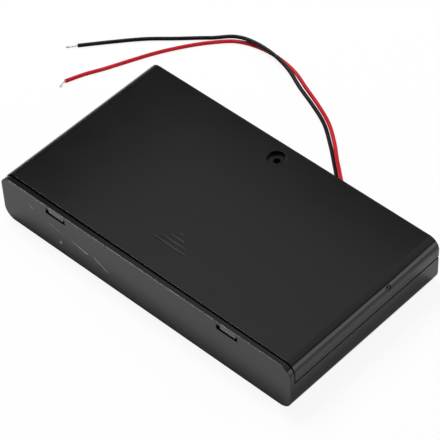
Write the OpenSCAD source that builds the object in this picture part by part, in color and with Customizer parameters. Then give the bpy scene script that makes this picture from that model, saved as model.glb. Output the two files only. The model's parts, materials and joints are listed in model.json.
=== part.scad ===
// Enclosed holder for eight cylindrical cells that lie side by side.
// The tray holds the cells, their contacts and the leads. The cover slides back off it on two rails.
// X runs along the row of cells, Y from the latch wall to the wall with the leads, Z up.
// The origin is the middle of the underside. Lengths are in millimetres.

/* [Cells] */
// Diameter of a cell
cell_d = 14.5; // [14:0.1:15]
// Length of a cell with its terminal
cell_l = 50.5; // [49:0.5:52]
// Space between two neighbouring cells
cell_gap = 0.5; // [0.3:0.1:1.2]
// Space between the cells and the cover
headroom = 1.2; // [1.2:0.1:3]

/* [Tray] */
// Thickness of the floor
floor_t = 1.5; // [1.2:0.1:3]
// Thickness of the latch wall
latch_wall_t = 1.9; // [1.5:0.1:3]
// Thickness of the walls that the cover slides along
rail_t = 1.2; // [1.1:0.1:2]
// Thickness of the wall between the cells and the wiring space
divider_t = 1.2; // [0.8:0.1:2]
// Depth of the wiring space
wiring_w = 8.2; // [8.2:0.1:12]
// Height of the tray's outer skin at the ends and the back
seam_z = 11.6; // [10:0.1:12.5]
// Radius of the two lower edges
lower_r = 4.5; // [2:0.1:5]
// Radius of the lower corners inside the tray
cavity_r = 3; // [1:0.1:4]
// Thickness of the ribs between the cells
cell_rib_t = 1.2; // [0.8:0.1:1.6]
// Height of the ribs between the cells
cell_rib_h = 3; // [1:0.1:3.4]
// Distance from the ribs' ends to the walls
cell_rib_inset = 8; // [6:0.5:20]

/* [Cover] */
// Thickness of the top
cover_t = 1.8; // [1.6:0.1:3]
// Thickness of the skirt at the ends and the back
skirt_t = 1.1; // [0.9:0.1:1.6]
// Radius of the two upper edges
upper_r = 4; // [3:0.1:5]
// Gap between the cover and the latch wall
front_gap = 0.3; // [0.15:0.05:0.6]
// Gap between the skirt and the ledge below it
seam_gap = 0.25; // [0.15:0.05:0.5]
// Running space between the cover and the tray
slide_gap = 0.2; // [0.1:0.05:0.3]

/* [Rails] */
// Reach of the lip inside the skirt
lip_reach = 0.7; // [0.5:0.05:0.7]
// Height of the lip
lip_h = 1.2; // [0.8:0.1:1.6]

/* [Latches] */
// Distance between the middles of the two latches
latch_pitch = 74.4; // [40:0.2:90]
// Width of a tongue
tongue_w = 6.5; // [4:0.1:9]
// Thickness of a tongue
tongue_t = 1.3; // [0.8:0.1:1.3]
// Length of a tongue's root below the cover
tongue_root_l = 4; // [2:0.5:8]
// Distance of a tongue's tip from the outer face
tongue_set_back = 0.1; // [0:0.05:0.5]
// Height of the wall above a window
window_band = 1.4; // [1:0.1:1.4]
// Space beside a tongue in its window
window_side = 0.7; // [0.3:0.05:1]
// Space below a tongue in its window
window_below = 0.7; // [0.3:0.05:1]
// Space above a tongue in its window
window_above = 0.1; // [0.05:0.05:0.2]

/* [Screw] */
// Distance of the screw's axis from the back face
screw_inset = 6.5; // [6:0.1:7]
// Diameter of the recess for the screw's head
recess_d = 6.7; // [5:0.1:7]
// Depth of the recess
recess_h = 1.3; // [0.8:0.1:1.5]
// Thickness of the wall round the recess, below the cover
recess_wall = 1; // [0.8:0.1:1.5]
// Thickness of the cover below the screw's head
seat_t = 1.2; // [0.8:0.1:1.3]
// Diameter of the screw's hole through the cover
screw_hole_d = 2.4; // [2.2:0.1:3]
// Diameter of the post below the hole
post_d = 4.6; // [3.5:0.1:4.6]
// Thickness of the rib between the post and the back wall
post_rib_t = 1.2; // [0.8:0.1:1.6]
// Diameter of the pilot hole in the post
pilot_d = 1.8; // [1.4:0.1:2]
// Depth of the pilot hole
pilot_h = 10; // [6:0.5:12]

/* [Contacts] */
// Thickness of the contact sheet
sheet_t = 0.4; // [0.3:0.05:0.5]
// Width of the sheet behind one cell
pad_w = 11.5; // [10.5:0.1:12]
// Height of the sheet behind one cell
pad_h = 12.5; // [11.5:0.1:13]
// Radius of the sheet's corners
pad_r = 1.5; // [0.5:0.1:3]
// Height of the bridge between two cells
bridge_h = 6; // [3:0.1:8]
// Diameter of the raised button
button_d = 5.6; // [4:0.1:7]
// Height of the raised button
button_h = 0.8; // [0.4:0.1:1]
// Thickness of the ribs that part the sheets
holder_t = 1.2; // [0.8:0.1:1.4]
// Height of these ribs
holder_h = 10; // [6:0.5:11]
// Thickness of the hooks that hold the sheets' edges
hook_t = 0.8; // [0.6:0.1:1]
// Reach of the hooks over the sheets' edges
hook_reach = 0.8; // [0.4:0.1:0.8]
// Space between a sheet and its hooks
hook_gap = 0.1; // [0.05:0.05:0.2]

/* [Springs] */
// Thickness of the spring wire
spring_wire = 0.7; // [0.5:0.05:0.8]
// Diameter of the turn that lies on the sheet, to the wire's middle
spring_base_d = 8.6; // [8:0.1:8.8]
// Diameter of the turn that meets the cell, to the wire's middle
spring_tip_d = 5.2; // [4:0.1:5.6]
// Length of a free spring
spring_free_l = 7.5; // [6:0.1:9]
// Length of a spring behind a cell
spring_work_l = 4.5; // [4:0.1:6]
// Turns of a spring
spring_turns = 4.5; // [3.5:0.5:5.5]
// Width of the two tabs that clip over a spring's first turn
tab_w = 1.2; // [0.8:0.1:2]
// Thickness of these tabs
tab_t = 0.3; // [0.2:0.05:0.4]
// Space between a tab and the wire
tab_gap = 0.08; // [0.05:0.01:0.1]

/* [Terminals] */
// Width of the strap that carries a terminal over the divider
strap_w = 3; // [2:0.1:4]
// Depth of the divider's notch below the strap
notch_h = 1; // [0.6:0.1:1.5]
// Space beside a strap in its notch
notch_gap = 0.2; // [0.1:0.05:0.4]
// Length of the leg that the lead is soldered to
leg_l = 5.4; // [4:0.1:7]
// Diameter of the solder joint
solder_d = 2.6; // [2:0.1:3]

/* [Leads] */
// Diameter of a lead
lead_d = 1.4; // [1.2:0.1:1.7]
// Diameter of its bare strands
strand_d = 0.6; // [0.5:0.1:0.9]
// Length of the tinned end
tinned_l = 4; // [2:0.5:8]
// Distance of the lead hole from the middle
lead_x = 14; // [12:0.5:30]
// Height of the lead hole
lead_z = 4.5; // [3.5:0.1:6]
// Space round each lead in the hole and along the walls
lead_gap = 0.2; // [0.1:0.05:0.2]

/* [Marks] */
// Ribs of the arrow on the cover that shows which way it slides
arrow_ribs = 4; // [2:1:6]
// Width of the arrow's base
arrow_w = 13.8; // [8:0.1:20]
// What each rib loses in length
arrow_step = 3.8; // [1:0.1:3.8]
// Distance between two ribs
arrow_pitch = 1.95; // [1.2:0.05:3]
// Distance of the arrow's base from the front
arrow_y = 13.2; // [6:0.1:30]
// Width of a rib
arrow_rib_w = 0.7; // [0.4:0.1:1]
// Height of a rib
arrow_rib_h = 0.3; // [0.15:0.05:0.5]
// Length of the polarity signs in the tray
sign_l = 4; // [2:0.1:6]
// Width of their strokes
sign_w = 0.8; // [0.4:0.1:1.2]
// Depth of their strokes
sign_h = 0.3; // [0.1:0.05:0.5]
// Distance of the signs from the walls at the cells' ends
sign_inset = 11; // [9:0.5:20]
// Distance of the moulding mark from the middle, along the right end
gate_y = 11; // [-25:0.5:28]
// Diameter of the moulding mark
gate_d = 2.2; // [1:0.1:3]
// Depth of the moulding mark
gate_h = 0.3; // [0.1:0.05:0.4]
// Diameter of the stub in the moulding mark
gate_stub_d = 0.8; // [0.4:0.1:0.9]
// Angle of the moulding mark above the level
gate_angle = 30; // [10:5:60]

/* [Hidden] */
$fn = 64;

// The number of cells is fixed: each contact and spring above is a piece of its own.
cells = 8;
pitch = cell_d + cell_gap;
row_l = cells * pitch;
bay_l = cell_l + 2 * sheet_t + button_h + spring_work_l;
end_t = rail_t + slide_gap + skirt_t;
box_l = row_l + 2 * end_t;
box_w = latch_wall_t + bay_l + divider_t + wiring_w + end_t;
box_h = floor_t + cell_d + headroom + cover_t;

// Places along Y, from the front face to the back face
front_y = -box_w / 2;
bay_front = front_y + latch_wall_t;
bay_back = bay_front + bay_l;
wiring_front = bay_back + divider_t;
wiring_back = wiring_front + wiring_w;
back_y = box_w / 2;
cover_front = bay_front + front_gap;
screw_y = back_y - screw_inset;

// Heights
cell_z = floor_t + cell_d / 2;
cover_under = box_h - cover_t;
window_top = box_h - window_band;
tongue_low = window_top - window_above - tongue_t;
seat_low = box_h - recess_h - seat_t;
wall_top = min(tongue_low, seat_low) - slide_gap;
post_top = seat_low - slide_gap;
skirt_low = seam_z + seam_gap;
strap_low = wall_top - notch_h;

// Half of the width inside the skirt
skirt_in = box_l / 2 - skirt_t;
// Overlap of shapes that are joined into one piece
joined = 0.5;
// Reach of a cut past the piece
past = 1;

plastic = [0.05, 0.05, 0.055];
nickel = [0.78, 0.77, 0.74];
tin = [0.7, 0.71, 0.73];
black_pvc = [0.03, 0.03, 0.03];
red_pvc = [0.72, 0.04, 0.07];

// Cell k lies at this X. Cells 0, 2, 4 and 6 have their positive end at the front.
function cell_x(k) = (k - (cells - 1) / 2) * pitch;
function plus_in_front(k) = k % 2 == 0;

// Places of the two leads in their hole, and of a lead that lies on the ground or along the divider.
lead_side = (lead_d + lead_gap) / 2;
black_x = lead_x - lead_side;
red_x = lead_x + lead_side;
lane_y = wiring_front + lead_d / 2 + lead_gap;
terminal_x = cell_x(cells - 1);
solder_z = strap_low + sheet_t - leg_l + solder_d / 2;
strip_x = terminal_x - strap_w / 2 - 0.6;

// Routes of the free leads, counted from the point of the ground below the lead hole's mouth.
ground_z = lead_d / 2;
over_z = 3 * lead_d / 2 + 0.2;
black_route = [
    [-lead_side, 0, lead_z], [-lead_side, 4, lead_z], [-2, 9, 3], [-5.5, 13.2, 1.3], [-10.5, 17.8, ground_z],
    [-17.5, 23.8, ground_z], [-25, 29.4, ground_z], [-33.5, 33.5, ground_z], [-42.5, 37, 1],
    [-51, 40.4, 2.1], [-60, 42.5, over_z], [-69, 42.6, over_z], [-76, 40.6, 2], [-83, 35.5, ground_z],
    [-91.8, 27.4, ground_z], [-100, 20, ground_z], [-108, 11, ground_z], [-115.5, 2, ground_z]];
red_route = [
    [lead_side, 0, lead_z], [lead_side, 4, lead_z], [0, 9.2, 3.7], [-4, 13.4, 2.5], [-9.5, 18.3, 1.9],
    [-16, 24.3, 1.9], [-23.3, 29.8, 1.9], [-32, 34.5, 1.2], [-41, 38.5, ground_z],
    [-49.5, 42, ground_z], [-58.5, 43.5, ground_z], [-67, 43, ground_z], [-75, 40, ground_z],
    [-81.5, 33.5, ground_z], [-87, 26, ground_z], [-92, 17.5, ground_z], [-96, 9, ground_z],
    [-100, 0, ground_z], [-104.5, -9.5, ground_z]];

// Routes of the leads inside the tray: from the hole, along the divider and up to the terminal.
black_inside_route = [
    [black_x, back_y, lead_z], [black_x, wiring_back - 1, lead_z], [black_x - 1.5, lane_y + 3.4, lead_z],
    [black_x - 5, lane_y + 0.8, lead_z], [black_x - 10, lane_y, lead_z], [-post_d, lane_y, lead_z],
    [-strip_x / 2, lane_y, lead_z], [-strip_x + 10, lane_y, (lead_z + solder_z) / 2],
    [-strip_x + 3, lane_y, solder_z], [-strip_x, lane_y, solder_z]];
red_inside_route = [
    [red_x, back_y, lead_z], [red_x, wiring_back - 1, lead_z], [red_x + 1.5, lane_y + 3.4, lead_z],
    [red_x + 5, lane_y + 0.8, lead_z], [red_x + 10, lane_y, lead_z],
    [strip_x - 10, lane_y, (lead_z + solder_z) / 2],
    [strip_x - 3, lane_y, solder_z], [strip_x, lane_y, solder_z]];

// ---- Shapes seen from the front, and their length along Y ----

// A shape drawn in X and Z, from one place along Y to another.
module along_y(from, to) {
    translate([0, to, 0]) rotate([90, 0, 0]) linear_extrude(to - from) children();
}

// Outline of the closed box.
module outline() {
    half = box_l / 2;
    translate([-half + lower_r, 0]) square([2 * (half - lower_r), box_h / 2]);
    translate([-half + upper_r, box_h / 2]) square([2 * (half - upper_r), box_h / 2]);
    translate([-half, lower_r]) square([2 * half, box_h - lower_r - upper_r]);
    for (side = [-1, 1]) {
        translate([side * (half - lower_r), lower_r]) circle(lower_r);
        translate([side * (half - upper_r), box_h - upper_r]) circle(upper_r);
    }
}

// Inside of the cover, drawn in on all sides, down to the ground.
module cover_inside(inset) {
    half = skirt_in - inset;
    top = cover_under - inset;
    r = upper_r - skirt_t - inset;
    translate([-half, 0]) square([2 * half, top - r]);
    translate([-half + r, 0]) square([2 * (half - r), top]);
    for (side = [-1, 1])
        translate([side * (half - r), top - r]) circle(r);
}

// Hollow of the tray, open at the top.
module tray_hollow() {
    half = row_l / 2;
    translate([-half, floor_t + cavity_r]) square([row_l, box_h]);
    translate([-half + cavity_r, floor_t]) square([row_l - 2 * cavity_r, box_h]);
    for (side = [-1, 1])
        translate([side * (half - cavity_r), floor_t + cavity_r]) circle(cavity_r);
}

// ---- Tray ----

module tray_skin() {
    difference() {
        along_y(front_y, back_y) outline();
        translate([-box_l, bay_front, seam_z]) cube([2 * box_l, box_w, box_h]);
    }
    intersection() {
        along_y(bay_front - joined, wiring_back + rail_t) cover_inside(slide_gap);
        translate([-box_l / 2, front_y, seam_z - joined]) cube([box_l, box_w, wall_top - seam_z + joined]);
    }
}

// Undercut in which the cover's lip runs, open at the back.
module rail_groove(side) {
    depth = lip_reach + slide_gap;
    height = seam_gap + lip_h + slide_gap;
    x = side > 0 ? skirt_in - depth : -skirt_in;
    translate([x, bay_front, seam_z]) cube([depth, box_w, height]);
}

module latch_window(x) {
    w = tongue_w + 2 * window_side;
    low = tongue_low - window_below;
    translate([x - w / 2, front_y - past, low]) cube([w, latch_wall_t + 2 * past, window_top - low]);
}

// One slot with round ends, for the two leads side by side.
module lead_hole() {
    r = lead_d / 2 + lead_gap;
    along_y(wiring_back - past, back_y + past) {
        translate([black_x, lead_z - r]) square([red_x - black_x, 2 * r]);
        for (x = [black_x, red_x])
            translate([x, lead_z]) circle(r);
    }
}

// Rib with a hook on each side, which holds the edges of two contact sheets against a wall.
module sheet_holder(x, wall_y, face) {
    hook_w = pitch - pad_w + 2 * hook_reach;
    hook_y = sheet_t + hook_gap;
    low = floor_t - joined;
    top = floor_t + holder_h;
    translate([x, wall_y, low]) mirror([0, face > 0 ? 0 : 1, 0]) {
        translate([-holder_t / 2, -joined, 0]) cube([holder_t, joined + hook_y + hook_t, top - low]);
        translate([-hook_w / 2, hook_y, 0]) cube([hook_w, hook_t, top - low]);
    }
}

module sheet_holders() {
    intersection() {
        union() {
            for (k = [0 : 2 : cells])
                sheet_holder(cell_x(k) - pitch / 2, bay_front, 1);
            for (k = [1 : 2 : cells - 1])
                sheet_holder(cell_x(k) - pitch / 2, bay_back, -1);
            for (k = [0, cells])
                sheet_holder(cell_x(k) - pitch / 2, bay_back, -1);
        }
        translate([-row_l / 2 - joined, front_y, 0]) cube([row_l + 2 * joined, box_w, box_h]);
    }
}

module cell_ribs() {
    l = bay_l - 2 * cell_rib_inset;
    for (k = [1 : cells - 1])
        translate([cell_x(k) - pitch / 2 - cell_rib_t / 2, bay_front + cell_rib_inset, floor_t - joined])
            cube([cell_rib_t, l, cell_rib_h + joined]);
}

// Notches in the wall between the cells and the wiring space, for the terminals' straps.
module strap_notches() {
    w = strap_w + 2 * notch_gap;
    for (side = [-1, 1])
        translate([side * terminal_x - w / 2, bay_back - past, strap_low])
            cube([w, divider_t + 2 * past, notch_h + past]);
}

module screw_post() {
    low = floor_t - joined;
    difference() {
        union() {
            translate([0, screw_y, low]) cylinder(h = post_top - low, d = post_d);
            translate([-post_rib_t / 2, screw_y, low])
                cube([post_rib_t, wiring_back + joined - screw_y, wall_top - low]);
        }
        translate([0, screw_y, post_top - pilot_h]) cylinder(h = pilot_h + past, d = pilot_d);
    }
}

// Sunk polarity signs at both ends of each cell.
module sign(x, y, plus) {
    low = floor_t - sign_h;
    h = sign_h + past;
    translate([x - sign_l / 2, y - sign_w / 2, low]) cube([sign_l, sign_w, h]);
    if (plus)
        translate([x - sign_w / 2, y - sign_l / 2, low]) cube([sign_w, sign_l, h]);
}

module polarity_signs() {
    for (k = [0 : cells - 1]) {
        sign(cell_x(k), bay_front + sign_inset, plus_in_front(k));
        sign(cell_x(k), bay_back - sign_inset, !plus_in_front(k));
    }
}

module base_tray() {
    color(plastic) {
        difference() {
            tray_skin();
            along_y(bay_front, bay_back) tray_hollow();
            along_y(wiring_front, wiring_back) tray_hollow();
            for (side = [-1, 1]) {
                rail_groove(side);
                latch_window(side * latch_pitch / 2);
            }
            strap_notches();
            lead_hole();
            polarity_signs();
        }
        sheet_holders();
        cell_ribs();
        screw_post();
    }
}

// ---- Cover ----

module cover_shell() {
    difference() {
        along_y(cover_front, back_y) outline();
        translate([-box_l, front_y - past, -past]) cube([2 * box_l, box_w + 2 * past, skirt_low + past]);
        along_y(cover_front - past, back_y - skirt_t) cover_inside(0);
    }
}

// Lip inside the skirt that runs in the tray's groove.
module skirt_lip(side) {
    x = side > 0 ? skirt_in - lip_reach : -skirt_in - joined;
    translate([x, cover_front, skirt_low]) cube([lip_reach + joined, back_y - joined - cover_front, lip_h]);
}

// Tongue that passes through its window in the latch wall, and its root below the cover.
module latch_tongue(x) {
    tip = front_y + tongue_set_back;
    translate([x - tongue_w / 2, tip, tongue_low])
        cube([tongue_w, cover_front + tongue_root_l - tip, tongue_t]);
    translate([x - tongue_w / 2, cover_front, tongue_low])
        cube([tongue_w, tongue_root_l, cover_under + joined - tongue_low]);
}

module arrow() {
    for (k = [0 : arrow_ribs - 1])
        translate([-(arrow_w - k * arrow_step) / 2, front_y + arrow_y + k * arrow_pitch - arrow_rib_w / 2,
            box_h - joined])
            cube([arrow_w - k * arrow_step, arrow_rib_w, joined + arrow_rib_h]);
}

// Frame of the moulding mark: on the right upper edge, with Z out of the surface.
module at_gate() {
    translate([box_l / 2 - upper_r, gate_y, box_h - upper_r]) rotate([0, 90 - gate_angle, 0])
        translate([0, 0, upper_r - gate_h]) children();
}

module cover() {
    color(plastic) {
        difference() {
            union() {
                cover_shell();
                for (side = [-1, 1]) {
                    skirt_lip(side);
                    latch_tongue(side * latch_pitch / 2);
                }
                translate([0, screw_y, seat_low])
                    cylinder(h = cover_under + joined - seat_low, d = recess_d + 2 * recess_wall);
                arrow();
            }
            translate([0, screw_y, box_h - recess_h]) cylinder(h = recess_h + past, d = recess_d);
            translate([0, screw_y, seat_low - past]) cylinder(h = seat_t + 2 * past, d = screw_hole_d);
            at_gate() cylinder(h = past, d = gate_d);
        }
        at_gate() translate([0, 0, -gate_h]) cylinder(h = 2 * gate_h, d = gate_stub_d);
    }
}

// ---- Contacts ----

// Places something made for the bay's front wall, its back at y = 0, at the wall named by face.
module at_wall(face) {
    translate([0, face > 0 ? bay_front : bay_back, 0]) mirror([0, face > 0 ? 0 : 1, 0]) children();
}

module pad_outline(x) {
    r = pad_r;
    translate([x - pad_w / 2 + r, floor_t]) square([pad_w - 2 * r, pad_h]);
    translate([x - pad_w / 2, floor_t + r]) square([pad_w, pad_h - 2 * r]);
    for (side = [-1, 1])
        for (z = [floor_t + r, floor_t + pad_h - r])
            translate([x + side * (pad_w / 2 - r), z]) circle(r);
}

// Distance of the spring's wire from its axis, and of its middle from the sheet, after t turns.
first_turn_r = spring_base_d / 2 - spring_wire - 0.05;
function spring_r(t) =
    t < 1 ? spring_base_d / 2 + t * (first_turn_r - spring_base_d / 2)
    : first_turn_r + (spring_tip_d / 2 - first_turn_r) * (t - 1) / (spring_turns - 1);
function spring_h(t) =
    spring_wire / 2 + (spring_free_l - spring_wire) * max(0, min(1, (t - 1) / (spring_turns - 1.5)));

// The two tabs stand at the diagonal of the sheet, clear of the hooks beside it.
TAB_TURNS = [1 / 8, 5 / 8];

// Tab bent out of the sheet and over the spring's first turn, t turns from the wire's end.
module spring_tab(x, t) {
    inner = spring_r(t) + spring_wire / 2 + tab_gap;
    rise = sheet_t + spring_wire + tab_gap;
    translate([x, 0, cell_z]) rotate([0, 360 * t, 0]) {
        translate([inner, 0, -tab_w / 2]) cube([tab_t, rise + tab_t, tab_w]);
        translate([spring_r(t), rise, -tab_w / 2]) cube([inner - spring_r(t) + tab_t, tab_t, tab_w]);
    }
}

// One contact sheet: a raised button for one cell's positive end, tabs for another cell's spring.
module contact_sheet(pads, buttons, springs) {
    difference() {
        union() {
            along_y(0, sheet_t) {
                for (x = pads)
                    pad_outline(x);
                if (len(pads) > 1)
                    translate([pads[0], cell_z - bridge_h / 2]) square([pads[1] - pads[0], bridge_h]);
            }
            for (x = buttons)
                translate([x, 0, cell_z]) rotate([-90, 0, 0]) cylinder(h = sheet_t + button_h, d = button_d);
            for (x = springs)
                for (t = TAB_TURNS)
                    spring_tab(x, t);
        }
        for (x = buttons)
            translate([x, -past, cell_z]) rotate([-90, 0, 0])
                cylinder(h = past + button_h, d = button_d - 2 * sheet_t);
    }
}

// Front contact n joins cells 2n and 2n + 1, back contact n joins cells 2n + 1 and 2n + 2.
module front_contact(n) {
    a = cell_x(2 * n);
    b = cell_x(2 * n + 1);
    color(nickel) at_wall(1) contact_sheet([a, b], [a], [b]);
}

module back_contact(n) {
    a = cell_x(2 * n + 1);
    b = cell_x(2 * n + 2);
    color(nickel) at_wall(-1) contact_sheet([a, b], [a], [b]);
}

// Strap from the top of a pad, over the divider and down to the solder leg behind it.
module terminal_strap(x) {
    top = strap_low + sheet_t;
    leg_y = -divider_t - sheet_t;
    translate([x - strap_w / 2, 0, floor_t + pad_h - joined])
        cube([strap_w, sheet_t, top - floor_t - pad_h + joined]);
    translate([x - strap_w / 2, leg_y, strap_low]) cube([strap_w, 2 * sheet_t + divider_t, sheet_t]);
    translate([x - strap_w / 2, leg_y, top - leg_l]) cube([strap_w, sheet_t, leg_l]);
}

module negative_terminal() {
    color(nickel) at_wall(-1) {
        contact_sheet([-terminal_x], [], [-terminal_x]);
        terminal_strap(-terminal_x);
    }
}

module positive_terminal() {
    color(nickel) at_wall(-1) {
        contact_sheet([terminal_x], [terminal_x], []);
        terminal_strap(terminal_x);
    }
}

// ---- Springs and leads: rings of points joined into one skin ----

module skin(rings) {
    n = len(rings[0]);
    last = len(rings) - 1;
    sides = [for (i = [0 : last - 1]) for (j = [0 : n - 1])
        each [[i * n + j, (i + 1) * n + j, i * n + (j + 1) % n],
              [i * n + (j + 1) % n, (i + 1) * n + j, (i + 1) * n + (j + 1) % n]]];
    start = [[for (j = [0 : n - 1]) j]];
    end = [[for (j = [n - 1 : -1 : 0]) last * n + j]];
    polyhedron([for (ring = rings) each ring], concat(start, sides, end), convexity = 10);
}

// The wire's rings lie across the spring's turns. The spring's axis is Z, its base at 0.
SPRING_STEPS = 14;
function spring_ring(t) =
    let (a = 360 * t, out = [cos(a), sin(a), 0], middle = spring_r(t) * out + [0, 0, spring_h(t)])
    [for (b = [0 : 60 : 359]) middle + spring_wire / 2 * (cos(b) * out + [0, 0, sin(b)])];

module spring(k) {
    face = plus_in_front(k) ? -1 : 1;
    steps = spring_turns * SPRING_STEPS;
    color(nickel) at_wall(face) translate([cell_x(k), sheet_t, cell_z]) rotate([-90, 0, 0])
        skin([for (i = [0 : steps]) spring_ring(i / SPRING_STEPS)]);
}

// Point and direction on the smooth curve through a route, at span i and share t of it.
function at(route, i) = route[max(0, min(len(route) - 1, i))];
function curve_point(route, i, t) =
    let (a = at(route, i - 1), b = at(route, i), c = at(route, i + 1), d = at(route, i + 2))
    0.5 * (2 * b + (c - a) * t + (2 * a - 5 * b + 4 * c - d) * t * t + (3 * b - a - 3 * c + d) * t * t * t);
function curve_slope(route, i, t) =
    let (a = at(route, i - 1), b = at(route, i), c = at(route, i + 1), d = at(route, i + 2))
    0.5 * ((c - a) + 2 * (2 * a - 5 * b + 4 * c - d) * t + 3 * (3 * b - a - 3 * c + d) * t * t);

function unit(v) = v / norm(v);
function lead_ring(middle, slope) =
    let (ahead = unit(slope), side = unit(cross(ahead, [0, 0, 1])), up = cross(side, ahead))
    [for (b = [22.5 : 45 : 359]) middle + lead_d / 2 * (cos(b) * side + sin(b) * up)];

module lead_along(route, steps) {
    spans = len(route) - 1;
    skin([for (i = [0 : spans * steps])
        let (span = min(floor(i / steps), spans - 1), t = i / steps - span)
        lead_ring(curve_point(route, span, t), curve_slope(route, span, t))]);
}

module at_lead_hole() {
    translate([lead_x, back_y, 0]) children();
}

// Tinned strands that stick out of the end of a route, in line with its last span.
module tinned_end(route) {
    tip = route[len(route) - 1];
    ahead = tip - route[len(route) - 2];
    translate(tip) rotate([0, 90, atan2(ahead[1], ahead[0])]) cylinder(h = tinned_l, d = strand_d);
}

// Strands in a dome of solder on a terminal's leg. Side is -1 for the negative terminal, 1 for the positive.
module solder_joint(side) {
    color(tin) {
        translate([side * strip_x, lane_y, solder_z]) rotate([0, side * 90, 0])
            cylinder(h = terminal_x - strip_x, d = strand_d);
        translate([side * terminal_x, wiring_front + sheet_t, solder_z]) rotate([-90, 0, 0]) rotate_extrude()
            intersection() {
                circle(d = solder_d);
                square(solder_d);
            }
    }
}

base_tray();
cover();
front_contact(0);  // front_contact_1
front_contact(1);  // front_contact_2
front_contact(2);  // front_contact_3
front_contact(3);  // front_contact_4
back_contact(0);  // back_contact_1
back_contact(1);  // back_contact_2
back_contact(2);  // back_contact_3
negative_terminal();
positive_terminal();
spring(0);  // spring_1
spring(1);  // spring_2
spring(2);  // spring_3
spring(3);  // spring_4
spring(4);  // spring_5
spring(5);  // spring_6
spring(6);  // spring_7
spring(7);  // spring_8
color(black_pvc) at_lead_hole() lead_along(black_route, 2);  // black_lead
color(black_pvc) lead_along(black_inside_route, 2);  // black_lead_inside
color(tin) at_lead_hole() tinned_end(black_route);  // black_tinned_end
solder_joint(-1);  // black_solder_joint
color(red_pvc) at_lead_hole() lead_along(red_route, 2);  // red_lead
color(red_pvc) lead_along(red_inside_route, 2);  // red_lead_inside
color(tin) at_lead_hole() tinned_end(red_route);  // red_tinned_end
solder_joint(1);  // red_solder_joint
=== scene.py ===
"""Closed holder for eight cylindrical cells: black tray and sliding cover, red and black leads.

X runs along the row of cells, Y from the latch wall to the wall with the leads, and Z up from the underside's
middle. Sizes and places are in millimetres where nothing else is said, and MM turns them into metres.
"""
import json
import math
import bmesh
import bpy
from mathutils import Matrix, Vector

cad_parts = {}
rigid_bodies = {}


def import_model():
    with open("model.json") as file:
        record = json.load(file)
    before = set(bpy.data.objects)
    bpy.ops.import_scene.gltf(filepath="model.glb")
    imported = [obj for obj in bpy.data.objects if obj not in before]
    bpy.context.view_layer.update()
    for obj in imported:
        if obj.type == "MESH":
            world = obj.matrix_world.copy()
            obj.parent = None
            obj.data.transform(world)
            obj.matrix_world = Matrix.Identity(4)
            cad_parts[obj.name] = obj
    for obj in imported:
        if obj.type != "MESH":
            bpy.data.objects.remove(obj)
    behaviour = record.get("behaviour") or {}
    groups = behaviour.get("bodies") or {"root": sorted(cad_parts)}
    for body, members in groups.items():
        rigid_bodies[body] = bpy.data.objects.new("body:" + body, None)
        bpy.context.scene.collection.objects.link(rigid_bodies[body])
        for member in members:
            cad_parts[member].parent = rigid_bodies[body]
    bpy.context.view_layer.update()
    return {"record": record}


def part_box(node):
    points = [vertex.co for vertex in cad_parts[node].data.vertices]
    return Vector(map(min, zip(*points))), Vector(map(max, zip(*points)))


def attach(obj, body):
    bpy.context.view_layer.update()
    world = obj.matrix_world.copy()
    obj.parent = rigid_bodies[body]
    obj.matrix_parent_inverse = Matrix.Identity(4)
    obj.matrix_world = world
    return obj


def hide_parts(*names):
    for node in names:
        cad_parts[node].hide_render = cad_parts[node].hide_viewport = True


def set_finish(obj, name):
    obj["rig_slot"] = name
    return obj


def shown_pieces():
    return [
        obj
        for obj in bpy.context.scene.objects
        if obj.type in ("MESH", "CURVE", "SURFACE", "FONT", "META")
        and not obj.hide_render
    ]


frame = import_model()
scene = bpy.context.scene
MM = 0.001

# ---- Camera ----

# Point that it looks at, and its last shift across its own view, in metres as its distance is
AIM = Vector((-7.8, 9.2, 0)) * MM
SHIFT_RIGHT, SHIFT_UP = 0.036 * MM, -0.095 * MM
DISTANCE = 0.7936
AZIMUTH, ELEVATION, ROLL = (math.radians(angle) for angle in (44.4, 46.97, -2.33))
LENS, SENSOR = 198.7, 36
CLIP_START, CLIP_END = 0.05, 20


def add_camera():
    """Camera with a long lens, in front of the holder on the right and above it."""
    back = Vector((math.sin(AZIMUTH) * math.cos(ELEVATION), -math.cos(AZIMUTH) * math.cos(ELEVATION),
                   math.sin(ELEVATION)))
    level = Vector((math.cos(AZIMUTH), math.sin(AZIMUTH), 0))
    right = math.cos(ROLL) * level + math.sin(ROLL) * back.cross(level)
    up = back.cross(right)
    place = AIM + DISTANCE * back + SHIFT_RIGHT * right + SHIFT_UP * up
    data = bpy.data.cameras.new("camera")
    data.lens, data.sensor_width = LENS, SENSOR
    data.clip_start, data.clip_end = CLIP_START, CLIP_END
    camera = bpy.data.objects.new("camera", data)
    camera.matrix_world = Matrix.LocRotScale(place, Matrix((right, up, back)).transposed(), None)
    scene.collection.objects.link(camera)
    scene.camera = camera


add_camera()

# ---- Leads ----

BACK_Y = 35.2
LEAD_D = 1.4
# Middle of the two lead holes, and each one's distance from it
LEAD_X, LEAD_Z, LEAD_SIDE = 14, 4.5, 0.8
# Height of a lead that lies on the ground, and of the black one where it passes over the red one
GROUND, OVER = LEAD_D / 2, 2.3
# Where the leads inside run along the divider, how high their joints are, and halfway up to them
LANE_Y, JOINT_Z = 25.4, 11.3
CLIMB_Z = (LEAD_Z + JOINT_Z) / 2
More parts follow.
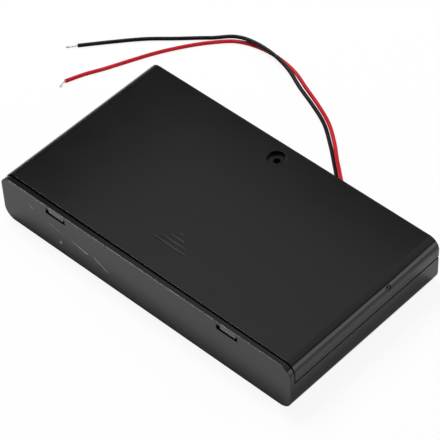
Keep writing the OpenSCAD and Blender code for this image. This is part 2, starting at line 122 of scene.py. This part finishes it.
# Routes of the free leads, from the middle of the holes at the back face
BLACK = [
    (-LEAD_SIDE, 0, LEAD_Z), (-LEAD_SIDE, 4, LEAD_Z), (-2, 9, 3), (-5.5, 13.2, 1.3), (-10.5, 17.8, GROUND),
    (-17.5, 23.8, GROUND), (-25, 29.4, GROUND), (-33.5, 33.5, GROUND), (-42.5, 37, 1), (-51, 40.4, 2.1),
    (-60, 42.5, OVER), (-69, 42.6, OVER), (-76, 40.6, 2), (-83, 35.5, GROUND), (-91.8, 27.4, GROUND),
    (-100, 20, GROUND), (-108, 11, GROUND), (-115.5, 2, GROUND)]
RED = [
    (LEAD_SIDE, 0, LEAD_Z), (LEAD_SIDE, 4, LEAD_Z), (0, 9.2, 3.7), (-4, 13.4, 2.5), (-9.5, 18.3, 1.9),
    (-16, 24.3, 1.9), (-23.3, 29.8, 1.9), (-32, 34.5, 1.2), (-41, 38.5, GROUND), (-49.5, 42, GROUND),
    (-58.5, 43.5, GROUND), (-67, 43, GROUND), (-75, 40, GROUND), (-81.5, 33.5, GROUND), (-87, 26, GROUND),
    (-92, 17.5, GROUND), (-96, 9, GROUND), (-100, 0, GROUND), (-103.4, -6.8, GROUND), (-106, -13.6, GROUND)]
# Routes of the leads inside, from their holes to their joints
BLACK_INSIDE = [
    (13.2, BACK_Y, LEAD_Z), (13.2, 31.7, LEAD_Z), (11.7, 28.8, LEAD_Z), (8.2, 26.2, LEAD_Z),
    (3.2, LANE_Y, LEAD_Z), (-4.6, LANE_Y, LEAD_Z), (-25.2, LANE_Y, LEAD_Z), (-40.4, LANE_Y, CLIMB_Z),
    (-47.4, LANE_Y, JOINT_Z), (-50.4, LANE_Y, JOINT_Z)]
RED_INSIDE = [
    (14.8, BACK_Y, LEAD_Z), (14.8, 31.7, LEAD_Z), (16.3, 28.8, LEAD_Z), (19.8, 26.2, LEAD_Z),
    (24.8, LANE_Y, LEAD_Z), (40.4, LANE_Y, CLIMB_Z), (47.4, LANE_Y, JOINT_Z), (50.4, LANE_Y, JOINT_Z)]
ROUTE_STEPS = 10
# Bare end: how many strands, one of them straight and the others round it, and how far these turn
STRANDS, STRAND_D, STRAND_STEPS, STRAND_TWIST = 7, 0.2, 16, math.radians(220)


def smooth_route(route, origin=(0, 0, 0)):
    """Points in metres on the smooth curve through a route's points."""
    p = [(Vector(point) + Vector(origin)) * MM for point in route]
    line = []
    for i in range(len(p) - 1):
        a, b, c, d = p[max(i - 1, 0)], p[i], p[i + 1], p[min(i + 2, len(p) - 1)]
        for k in range(ROUTE_STEPS):
            t = k / ROUTE_STEPS
            line.append(0.5 * (2 * b + (c - a) * t + (2 * a - 5 * b + 4 * c - d) * t * t
                               + (3 * b - a - 3 * c + d) * t ** 3))
    return line + [p[-1]]


def wire(name, lines, diameter, body, slot, stands_for, roundness):
    """Round wire along each line of points, all in metres, as one mesh that stands for CAD nodes."""
    data = bpy.data.curves.new(name, "CURVE")
    data.dimensions = "3D"
    data.bevel_depth = diameter / 2
    data.bevel_resolution = roundness
    data.use_fill_caps = True
    for line in lines:
        spline = data.splines.new("POLY")
        spline.points.add(len(line) - 1)
        for point, place in zip(spline.points, line):
            point.co = (*place, 1)
        spline.use_smooth = True
    bent = bpy.data.objects.new(name, data)
    mesh = bpy.data.meshes.new_from_object(bent)
    mesh.name = name
    bpy.data.objects.remove(bent)
    mesh.shade_smooth()
    mesh.set_sharp_from_angle(angle=math.radians(60))
    piece = bpy.data.objects.new(name, mesh)
    scene.collection.objects.link(piece)
    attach(piece, body)
    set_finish(piece, slot)
    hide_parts(*stands_for)
    return piece


def strand_lines(start, bare):
    """Lines of the bare strands, which twist from the insulation's end, both vectors in metres."""
    up = Vector((0, 0, 1))
    side = bare.normalized().cross(up)
    lines = []
    for n in range(STRANDS):
        off = 0 if n == STRANDS - 1 else STRAND_D * MM
        line = []
        for k in range(STRAND_STEPS + 1):
            share = k / STRAND_STEPS
            turn = n * math.tau / (STRANDS - 1) + share * STRAND_TWIST
            line.append(start + bare * share + off * (math.cos(turn) * side + math.sin(turn) * up))
        lines.append(line)
    return lines


def add_lead(color, route, inside, tip):
    """Lead from its hole to its insulation's end, bare strands on to the tip, and the lead inside."""
    line = smooth_route(route, origin=(LEAD_X, BACK_Y, 0))
    for point in line:
        point.z = max(point.z, GROUND * MM)
    bare = (Vector(tip) + Vector((LEAD_X, BACK_Y, 0))) * MM - line[-1]
    insulation = color + "_insulation"
    lead = wire(color + "_lead_tube", [line], LEAD_D * MM, "tray", insulation, [color + "_lead"], 5)
    tinned = wire(color + "_strands", strand_lines(line[-1], bare), STRAND_D * MM, "tray", "tin",
                  [color + "_tinned_end"], 2)
    wire(color + "_lead_inner_tube", [smooth_route(inside)], LEAD_D * MM, "tray", insulation,
         [color + "_lead_inside"], 5)


add_lead("black", BLACK, BLACK_INSIDE, (-118, -1.4, GROUND))
add_lead("red", RED, RED_INSIDE, (-105.3, -16.8, GROUND))

# ---- Springs ----

CELLS, PITCH, CELL_Z, SHEET_T = 8, 15, 8.75, 0.4
BAY_FRONT, BAY_BACK = -33.3, 23.3
SPRING_WIRE, SPRING_TURNS, SPRING_L = 0.7, 4.5, 7.5
# Radii to the wire's middle: where the wire starts on the sheet, one turn on, and at the cell
BASE_R, FIRST_R, TIP_R = 4.3, 3.55, 2.6
STEPS_PER_TURN = 28


def spring_line(k):
    """Middle line of the wire of the spring behind cell k, in metres."""
    line = []
    for i in range(int(SPRING_TURNS * STEPS_PER_TURN) + 1):
        t = i / STEPS_PER_TURN
        if t < 1:
            r = BASE_R + t * (FIRST_R - BASE_R)
        else:
            r = FIRST_R + (TIP_R - FIRST_R) * (t - 1) / (SPRING_TURNS - 1)
        h = SPRING_WIRE / 2 + (SPRING_L - SPRING_WIRE) * max(0, min(1, (t - 1) / (SPRING_TURNS - 1.5)))
        y = BAY_BACK - SHEET_T - h if k % 2 == 0 else BAY_FRONT + SHEET_T + h
        x = (k - (CELLS - 1) / 2) * PITCH + r * math.cos(math.tau * t)
        line.append(Vector((x, y, CELL_Z - r * math.sin(math.tau * t))) * MM)
    return line


for k in range(CELLS):
    wire(f"spring_{k + 1}_wire", [spring_line(k)], SPRING_WIRE * MM, "tray", "nickel_spring",
         [f"spring_{k + 1}"], 3)

# ---- Tray and cover, with rounded edges and a latch wall that isn't quite straight ----

tray_low, tray_high = (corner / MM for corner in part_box("base_tray"))
cover_low, cover_high = (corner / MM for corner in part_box("cover"))
FRONT_Y, END_X, TOP_Z = tray_low.y, tray_high.x, tray_high.z
SKIRT_LOW, RIBS_TOP = cover_low.z, cover_high.z
UPPER_R, LOWER_R, SEAM_Z, COVER_FRONT = 4, 4.5, 11.6, -33
# Latches: distance from the middle, and their windows in the latch wall
LATCH_X, WINDOW_W, WINDOW_LOW, WINDOW_TOP = 37.2, 7.9, 15.5, 17.6
SCREW_Y, RECESS_R = 28.7, 3.35
# How far the latch wall's top leans out and sinks at its left end, and how much less with each millimetre on
LEAN, LEAN_LOSS = 0.36, 0.0029
SINK, SINK_LOSS = 0.6, 0.003
# How much more its inner edge sinks, and the height from which it sinks
INNER_SINK, SINK_FROM = 0.08, 15
# How far a window's left side and bottom have moved, at the wall's face and at its inner face
LEFT_OUT, LEFT_IN = 0.6, 2.6
LOW_OUT, LOW_IN = 0.15, 1.9
# How far the right window has moved
RIGHT_WINDOW = Vector((-0.3, 0, 0.3))
# How far the seam's lower and upper edge have opened
SEAM_DOWN, SEAM_UP = 0.25, 0.1
# What wear has left of the ribs' height
RIB_LEFT = 0.8
# Widths of the tray's roundings; the latch wall's face has the first from the ground, the second from 6 up
FACE_ROUND, FACE_ROUND_FROM = (0.12, 0.25), 6
WINDOW_ROUND, TRAY_ROUND, SEAM_ROUND = 0.1, 0.15, 0.06
# Widths of the cover's roundings
BACK_ROUND, COVER_ROUND, RECESS_ROUND = 0.2, 0.08, 0.04
# Width of a rounding of full weight
FULL_ROUND = 0.5


def near(value, target, reach=0.02):
    """Whether a length is the target's, but for less than reach."""
    return abs(value - target) < reach


def clamp(value):
    """The value, kept within 0 to 1."""
    return max(0, min(1, value))


def on_skin(p):
    """Whether a point lies on the closed holder's skin."""
    upper = p.z > TOP_Z / 2
    r = UPPER_R if upper else LOWER_R
    x = abs(p.x) - (END_X - r)
    z = p.z - (TOP_Z - r) if upper else r - p.z
    if x > 0 and z > 0:
        return near(math.hypot(x, z), r, 0.04)
    return near(abs(p.x), END_X) or near(p.z, TOP_Z) or near(p.z, 0) or near(abs(p.y), BACK_Y)


def on_front(p):
    """Whether a point lies on the latch wall's face or on a tongue's tip."""
    return p.y < FRONT_Y + 0.2


def at_window(p):
    """Whether a point of the latch wall or a tongue lies on or in one of the windows."""
    aside = abs(abs(p.x) - LATCH_X)
    return aside < WINDOW_W / 2 + 0.1 and WINDOW_LOW - 0.1 < p.z < WINDOW_TOP + 0.1


def tray_place(p):
    """Where a point of the tray, or of a tongue in the latch wall, has come to lie."""
    high = p.z > SINK_FROM - 0.1
    if not on_front(p) and not (high and p.y < BAY_FRONT + 0.02):
        return p - Vector((0, 0, SEAM_DOWN)) if near(p.z, SEAM_Z) and on_skin(p) else p
    moved = Vector(p)
    from_left = p.x + END_X
    if on_front(p):
        moved.y -= (LEAN - LEAN_LOSS * from_left) * p.z / TOP_Z
    if high and on_skin(p):
        sink = SINK - SINK_LOSS * from_left + (0 if on_front(p) else INNER_SINK)
        moved.z -= sink * clamp((p.z - SINK_FROM) / (TOP_Z - SINK_FROM))
    if at_window(p):
        if near(p.x - math.copysign(LATCH_X, p.x), -WINDOW_W / 2):
            moved.x -= LEFT_OUT if on_front(p) else LEFT_IN
        if near(p.z, WINDOW_LOW):
            moved.z -= LOW_OUT if on_front(p) else LOW_IN
        if p.x > 0:
            moved += RIGHT_WINDOW
    return moved


def cover_place(p):
    """Where a point of the cover has come to lie: its tongues follow the latch wall, its ribs are worn."""
    if on_front(p):
        return tray_place(p)
    if p.z > TOP_Z + 0.1:
        return Vector((p.x, p.y, TOP_Z + RIB_LEFT * (p.z - TOP_Z)))
    return p + Vector((0, 0, SEAM_UP)) if near(p.z, SKIRT_LOW) and on_skin(p) else p


def lies_at(edge, **places):
    """Whether both ends of an edge have the same place along each axis named."""
    return all(near(getattr(p, axis), place) for p in edge for axis, place in places.items())


def tray_width(edge):
    """Width of the rounding of the tray's edge, given its two ends."""
    skin = all(on_skin(p) for p in edge)
    if lies_at(edge, y=FRONT_Y):
        if all(at_window(p) for p in edge):
            return WINDOW_ROUND
        low, high = FACE_ROUND
        return low + (high - low) * clamp((edge[0].z + edge[1].z) / 2 / FACE_ROUND_FROM)
    if lies_at(edge, y=BACK_Y) or skin and lies_at(edge, y=BAY_FRONT):
        return TRAY_ROUND
    return SEAM_ROUND if skin and lies_at(edge, z=SEAM_Z) else 0


def cover_width(edge):
    """Width of the rounding of the cover's edge, given its two ends."""
    skin = all(on_skin(p) for p in edge)
    if lies_at(edge, y=BACK_Y):
        return BACK_ROUND
    if skin and (lies_at(edge, y=COVER_FRONT) or lies_at(edge, z=SKIRT_LOW)) or lies_at(edge, z=RIBS_TOP):
        return COVER_ROUND
    at_recess = all(near(math.hypot(p.x, p.y - SCREW_Y), RECESS_R, 0.05) for p in edge)
    return RECESS_ROUND if at_recess and lies_at(edge, z=TOP_Z) else 0


def add_shell(node, body, width_of, place_of):
    """Copy of a CAD node, with its points at place_of(point) and its edges rounded by width_of(ends)."""
    shape = bmesh.new()
    shape.from_mesh(bpy.data.objects[node].data)
    bmesh.ops.remove_doubles(shape, verts=shape.verts, dist=1e-6)
    bmesh.ops.dissolve_limit(shape, angle_limit=0.002, verts=shape.verts, edges=shape.edges)
    weight = shape.edges.layers.float.new("bevel_weight_edge")
    for edge in shape.edges:
        if len(edge.link_faces) == 2 and edge.is_convex and edge.calc_face_angle(0) > math.radians(25):
            edge[weight] = width_of([vertex.co / MM for vertex in edge.verts]) / FULL_ROUND
    for vertex in shape.verts:
        vertex.co = place_of(vertex.co / MM) * MM
    mesh = bpy.data.meshes.new(node + "_shell")
    shape.to_mesh(mesh)
    shape.free()
    piece = bpy.data.objects.new(node + "_shell", mesh)
    scene.collection.objects.link(piece)
    bevel = piece.modifiers.new("rounding", "BEVEL")
    bevel.limit_method, bevel.width, bevel.segments = "WEIGHT", FULL_ROUND * MM, 4
    bevel.use_clamp_overlap, bevel.loop_slide = False, False
    done = bpy.data.meshes.new_from_object(piece.evaluated_get(bpy.context.evaluated_depsgraph_get()))
    piece.modifiers.clear()
    piece.data = done
    done.shade_smooth()
    done.set_sharp_from_angle(angle=math.radians(32))
    piece.modifiers.new("normals", "WEIGHTED_NORMAL").keep_sharp = True
    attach(piece, body)
    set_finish(piece, "black_plastic")
    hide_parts(node)


add_shell("base_tray", "tray", tray_width, tray_place)
add_shell("cover", "cover", cover_width, cover_place)

# ---- Materials ----


class Nodes:
    """A material's node tree, with short calls for the nodes used here."""

    def __init__(self, name):
        self.material = bpy.data.materials.new(name)
        self.material.use_nodes = True
        self.tree = self.material.node_tree
        self.tree.nodes.clear()
        self.out = self.tree.nodes.new("ShaderNodeOutputMaterial")

    def add(self, kind, inputs=(), **settings):
        made = self.tree.nodes.new("ShaderNode" + kind)
        for key, value in settings.items():
            setattr(made, key, value)
        for key, value in dict(inputs).items():
            if isinstance(value, bpy.types.NodeSocket):
                self.tree.links.new(value, made.inputs[key])
            else:
                made.inputs[key].default_value = value
        return made

    def math(self, operation, *values, clamp=False):
        return self.add("Math", enumerate(values), operation=operation, use_clamp=clamp).outputs[0]

    def product(self, value, *others):
        for other in others:
            value = self.math("MULTIPLY", value, other)
        return value

    def vector(self, operation, *values):
        made = self.add("VectorMath", enumerate(values), operation=operation)
        return made.outputs["Value" if operation in ("LENGTH", "DOT_PRODUCT") else "Vector"]

    def place(self):
        return self.add("TexCoord").outputs["Object"]

    def axes(self, place):
        return self.add("SeparateXYZ", {0: place}).outputs[:3]

    def noise(self, place, scale, detail, roughness=0.5):
        inputs = {"Vector": place, "Scale": scale, "Detail": detail, "Roughness": roughness}
        return self.add("TexNoise", inputs).outputs["Fac"]

    def between(self, value, low, high, to_low=0.0, to_high=1.0, smooth=False):
        return self.add("MapRange", {0: value, 1: low, 2: high, 3: to_low, 4: to_high},
                        interpolation_type="SMOOTHSTEP" if smooth else "LINEAR").outputs[0]

    def fade(self, length, start, end, at_start=1.0, at_end=0.0):
        """Smooth change while a length in metres grows from start to end, which are in millimetres."""
        return self.between(length, start * MM, end * MM, at_start, at_end, smooth=True)

    def blend(self, share_of_b, a, b):
        a, b = (color if isinstance(color, bpy.types.NodeSocket) else (*color, 1) for color in (a, b))
        return self.add("Mix", {0: share_of_b, 6: a, 7: b}, data_type="RGBA").outputs[2]

    def bump(self, height, distance, strength):
        return self.add("Bump", {"Height": height, "Distance": distance, "Strength": strength}).outputs[0]

    def finish(self, **inputs):
        names = {"color": "Base Color", "roughness": "Roughness", "metallic": "Metallic", "normal": "Normal",
                 "ior": "IOR"}
        shader = self.add("BsdfPrincipled", {names[key]: value for key, value in inputs.items()})
        self.tree.links.new(shader.outputs[0], self.out.inputs[0])
        return self.material


# Rub marks on the latch wall's face: from x, z to x, z, then reach to each side and strength
MARKS = [
    (-50, 13.7, -47.8, 12.6, 0.45, 0.4),
    (-49, 12.9, -48.8, 12.8, 0.5, 0.6),
    (-41.1, 10.9, -38.8, 10.6, 0.45, 0.4),
    (-37.9, 10.1, -34.3, 10, 0.35, 0.25),
    (-36.4, 4.8, -36.2, 5.3, 0.8, 1.0),
    (-30.8, 9.7, -27.4, 9, 0.4, 0.7),
    (-27.4, 9, -24.1, 8.3, 0.5, 1.0),
    (-25.4, 9, -23.1, 8.9, 0.35, 0.4),
    (-20.7, 8.8, -15.1, 6.2, 0.5, 1.0),
    (3, 12.6, 3, 12.6, 0.4, 0.3),
    (5.6, 9.6, 5.6, 9.6, 0.4, 0.3)]
# Grey where something hard has rubbed the plastic, also used as painted highlight on rim and ribs; grey of
# the tongues' painted highlight
SCRAPE_AND_HIGHLIGHT, TONGUE_HIGHLIGHT = (0.5, 0.5, 0.48), (0.36, 0.36, 0.35)
# Height of the latch wall's top edge in the middle, as it has sunk
RIM_Z = 18.58


def in_front(n, y, depth):
    """Whether a point lies within a depth behind the latch wall's face."""
    return n.math("LESS_THAN", y, (FRONT_Y + depth) * MM)


def rub_marks(n, place):
    """Strength of the rub marks, broken up along their length."""
    x, y, z = n.axes(place)
    flat = n.add("CombineXYZ", {0: x, 1: 0.0, 2: z}).outputs[0]
    marks = 0.0
    for x0, z0, x1, z1, reach, strength in MARKS:
        start, run = Vector((x0, 0, z0)) * MM, Vector((x1 - x0, 0, z1 - z0)) * MM
        away = n.vector("SUBTRACT", flat, tuple(start))
        if run.length > 0:
            ahead = n.vector("DOT_PRODUCT", away, tuple(run))
            ahead = n.math("DIVIDE", ahead, run.length_squared, clamp=True)
            nearest = n.add("VectorMath", {0: tuple(run), 3: ahead}, operation="SCALE").outputs[0]
            away = n.vector("SUBTRACT", away, nearest)
        marks = n.math("MAXIMUM", marks, n.fade(n.vector("LENGTH", away), reach * 0.2, reach, strength))
    broken = n.between(n.noise(place, 900, 3), 0.35, 0.6, 0.55, 1.0)
    return n.product(marks, in_front(n, y, 0.1), broken)


def painted_tongue_highlight(n, place):
    """Painted highlight on the tongues' faces: its share from side to side and up from the lower edge."""
    x, y, z = n.axes(place)
    aside = n.math("ABSOLUTE", n.math("SUBTRACT", n.math("ABSOLUTE", x), LATCH_X * MM))
    blotches = n.between(n.noise(place, 700, 3), 0.3, 0.65, 0.5, 1.0)
    return n.product(n.fade(aside, 2.9, 3.3), n.fade(z, 16.1, 16.3, 0.0, 1.0),
                     n.fade(z, 17.9, 18.5, 1.0, 0.15), in_front(n, y, 0.2), blotches)


def painted_rim_highlight(n, place):
    """Painted highlight: thin line along the top edge of the latch wall's face, which sinks towards the left.
    """
    x, y, z = n.axes(place)
    below = n.math("SUBTRACT", n.math("MULTIPLY_ADD", x, SINK_LOSS, RIM_Z * MM), z)
    return n.product(n.fade(below, 0.2, 0.5), in_front(n, y, 0.15))


def painted_rib_highlight(n, place, blotches):
    """Painted highlight on the arrow's ribs, in blotches."""
    height = n.axes(place)[2]
    return n.product(n.between(height, (TOP_Z + 0.03) * MM, (TOP_Z + 0.1) * MM),
                     n.between(blotches, 0.2, 0.8, 0.6, 1.0))


def black_plastic():
    n = Nodes("black_plastic_satin")
    place = n.place()
    broad = n.noise(place, 60, 4)
    marks = rub_marks(n, place)
    color = n.blend(broad, (0.0062, 0.0062, 0.0070), (0.0092, 0.0092, 0.0100))
    color = n.blend(n.product(marks, 0.85), color, SCRAPE_AND_HIGHLIGHT)
    # Painted highlight: the tongues' faces made a paler grey
    color = n.blend(n.product(painted_tongue_highlight(n, place), 0.5), color, TONGUE_HIGHLIGHT)
    # Painted highlight: a pale line along the latch wall's top edge
    color = n.blend(n.product(painted_rim_highlight(n, place), 0.16), color, SCRAPE_AND_HIGHLIGHT)
    # Painted highlight: the ribs made a little paler
    color = n.blend(n.product(painted_rib_highlight(n, place, broad), 0.05), color, SCRAPE_AND_HIGHLIGHT)
    dull = n.between(n.noise(place, 420, 5, 0.7), 0.62, 0.75, smooth=True)
    rough = n.between(broad, 0.3, 0.7, 0.13, 0.155)
    rough = n.math("ADD", rough, n.product(dull, 0.04))
    rough = n.math("ADD", rough, n.product(marks, 0.3))
    return n.finish(color=color, roughness=rough, normal=n.bump(n.noise(place, 2600, 2), 0.002 * MM, 0.5))


def insulation(name, deep, pale):
    n = Nodes(name)
    place = n.place()
    color = n.blend(n.between(n.noise(place, 180, 4), 0.35, 0.7), deep, pale)
    rough = n.between(n.noise(place, 900, 3), 0.3, 0.7, 0.3, 0.42)
    grain = n.bump(n.noise(place, 1500, 2), 0.01 * MM, 0.4)
    return n.finish(color=color, roughness=rough, ior=1.28, normal=grain)


def plated(name, deep, pale, rough_low, rough_high, stretch=(1, 1, 1)):
    n = Nodes(name)
    place = n.add("Mapping", {"Vector": n.place(), "Scale": stretch}).outputs[0]
    color = n.blend(n.noise(place, 260, 4), deep, pale)
    rough = n.between(n.noise(place, 1400, 3), 0.3, 0.7, rough_low, rough_high)
    grain = n.bump(n.noise(place, 1800, 2), 0.01 * MM, 0.5)
    return n.finish(color=color, roughness=rough, metallic=1.0, normal=grain)


FINISHES = {
    "black_plastic": black_plastic(),
    "black_insulation": insulation("black_pvc", (0.003, 0.003, 0.0035), (0.006, 0.006, 0.007)),
    "red_insulation": insulation("red_pvc", (0.60, 0.011, 0.022), (0.74, 0.017, 0.034)),
    "nickel_contact": plated("nickel_plate", (0.58, 0.56, 0.52), (0.70, 0.68, 0.64), 0.22, 0.36, (1, 1, 6)),
    "nickel_spring": plated("nickel_wire", (0.52, 0.51, 0.49), (0.66, 0.65, 0.62), 0.2, 0.32),
    "tin": plated("tinned", (0.56, 0.57, 0.58), (0.72, 0.73, 0.74), 0.3, 0.45),
}
for part in frame["record"]["subparts"]:
    for slot in bpy.data.objects[part["node"]].material_slots:
        slot.material = FINISHES[part["material_slot"]]
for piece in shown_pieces():
    if piece.get("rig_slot"):
        piece.data.materials.clear()
        piece.data.materials.append(FINISHES[piece["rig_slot"]])

# ---- Floor, backdrop and light, in metres ----

# Radii of the flat floor and of the curve up from it, height of the wall's top and how far out it leans
FLOOR_R, CURVE_R, WALL_TOP, WALL_LEAN = 2.4, 1.2, 2.4, 0.15
# Steps up the curve and degrees of each, and steps round the floor
CURVE_STEPS, CURVE_STEP, FLOOR_STEPS = 10, 8, 96


def white_ground():
    """White surface with a glow that only the camera and mirrors see, so that its shadows stay faint."""
    n = Nodes("white_ground")
    ray = n.add("LightPath").outputs
    mirrored = n.math("MAXIMUM", ray["Is Glossy Ray"], ray["Is Transmission Ray"])
    tint = n.between(n.noise(n.place(), 3, 2), 0.0, 1.0, 0.85, 0.88)
    shade = n.product(tint, n.between(ray["Is Camera Ray"], 0, 1, 1.0, 0.13))
    color = n.add("CombineColor", {0: shade, 1: shade, 2: shade}).outputs[0]
    glow = n.math("ADD", n.product(ray["Is Camera Ray"], 0.9), n.product(mirrored, 0.04))
    diffuse = n.add("BsdfDiffuse", {"Color": color}).outputs[0]
    emission = n.add("Emission", {"Color": (1, 1, 1, 1), "Strength": glow}).outputs[0]
    both = n.add("AddShader", {0: diffuse, 1: emission}).outputs[0]
    n.tree.links.new(both, n.out.inputs[0])
    return n.material


def ground_profile():
    """Distance from the middle and height of each ring of the ground."""
    profile = [(0.0, 0.0), (0.4, 0.0), (1.2, 0.0), (FLOOR_R, 0.0)]
    for i in range(1, CURVE_STEPS + 1):
        a = math.radians(CURVE_STEP * i)
        profile.append((FLOOR_R + CURVE_R * math.sin(a), CURVE_R - CURVE_R * math.cos(a)))
    return profile + [(profile[-1][0] + WALL_LEAN, WALL_TOP)]


def add_ground():
    """Level floor that curves up into a wall all round."""
    turns = [math.tau * i / FLOOR_STEPS for i in range(FLOOR_STEPS)]
    shape = bmesh.new()
    middle = shape.verts.new((0, 0, 0))
    rings = [[middle] * FLOOR_STEPS]
    for r, z in ground_profile()[1:]:
        rings.append([shape.verts.new((r * math.cos(turn), r * math.sin(turn), z)) for turn in turns])
    for low, high in zip(rings, rings[1:]):
        for i in range(FLOOR_STEPS):
            k = (i + 1) % FLOOR_STEPS
            corners = [low[i], high[i], high[k], low[k]]
            shape.faces.new(corners[:3] if low[i] is middle else corners)
    bmesh.ops.recalc_face_normals(shape, faces=shape.faces)
    mesh = bpy.data.meshes.new("ground")
    shape.to_mesh(mesh)
    shape.free()
    mesh.shade_smooth()
    mesh.materials.append(white_ground())
    ground = bpy.data.objects.new("ground", mesh)
    scene.collection.objects.link(ground)


def add_lamp(name, place, target, width, height, radiance):
    """Area lamp aimed at a target. Its energy grows with its face, so radiance says how bright it looks."""
    data = bpy.data.lights.new(name, "AREA")
    data.shape, data.size, data.size_y = "RECTANGLE", width, height
    data.energy = 4 * width * height * radiance
    lamp = bpy.data.objects.new(name, data)
    lamp.location = place
    lamp.rotation_euler = (Vector(target) - Vector(place)).to_track_quat("-Z", "Y").to_euler()
    lamp.visible_camera = False
    scene.collection.objects.link(lamp)


def add_world():
    """Dim even light from all round."""
    world = bpy.data.worlds.new("room")
    world.use_nodes = True
    background = world.node_tree.nodes["Background"]
    background.inputs["Color"].default_value = (1, 1, 1, 1)
    background.inputs["Strength"].default_value = 0.06
    scene.world = world


add_ground()
# Overhead key, out of every mirror direction that the camera sees
add_lamp("key", (-0.69, 0.14, 1.2), (-0.69, 0.14, 0), 0.9, 0.4, 9.9)
# Pale card high at the back left, mirrored in the cover's top
add_lamp("card", (-0.4275, 0.4645, 1.0), (-0.4275, 0.4645, 0), 0.655, 0.529, 0.37)
# Its paler neighbour, mirrored in the cover's rounded end
add_lamp("card_right", (0.4, 0.6, 1.0), (0.4, 0.6, 0), 1.0, 0.8, 0.3)
# Dim card overhead at the front left
add_lamp("fill", (-0.3, -0.4, 1.0), (-0.3, -0.4, 0), 1.2, 1.1, 0.25)
# Low wide window at the back right
add_lamp("window", (1.25, 0.70, 0.42), (0, 0, 0.1), 1.6, 0.8, 1.3)
add_world()
scene.view_settings.view_transform = "Standard"
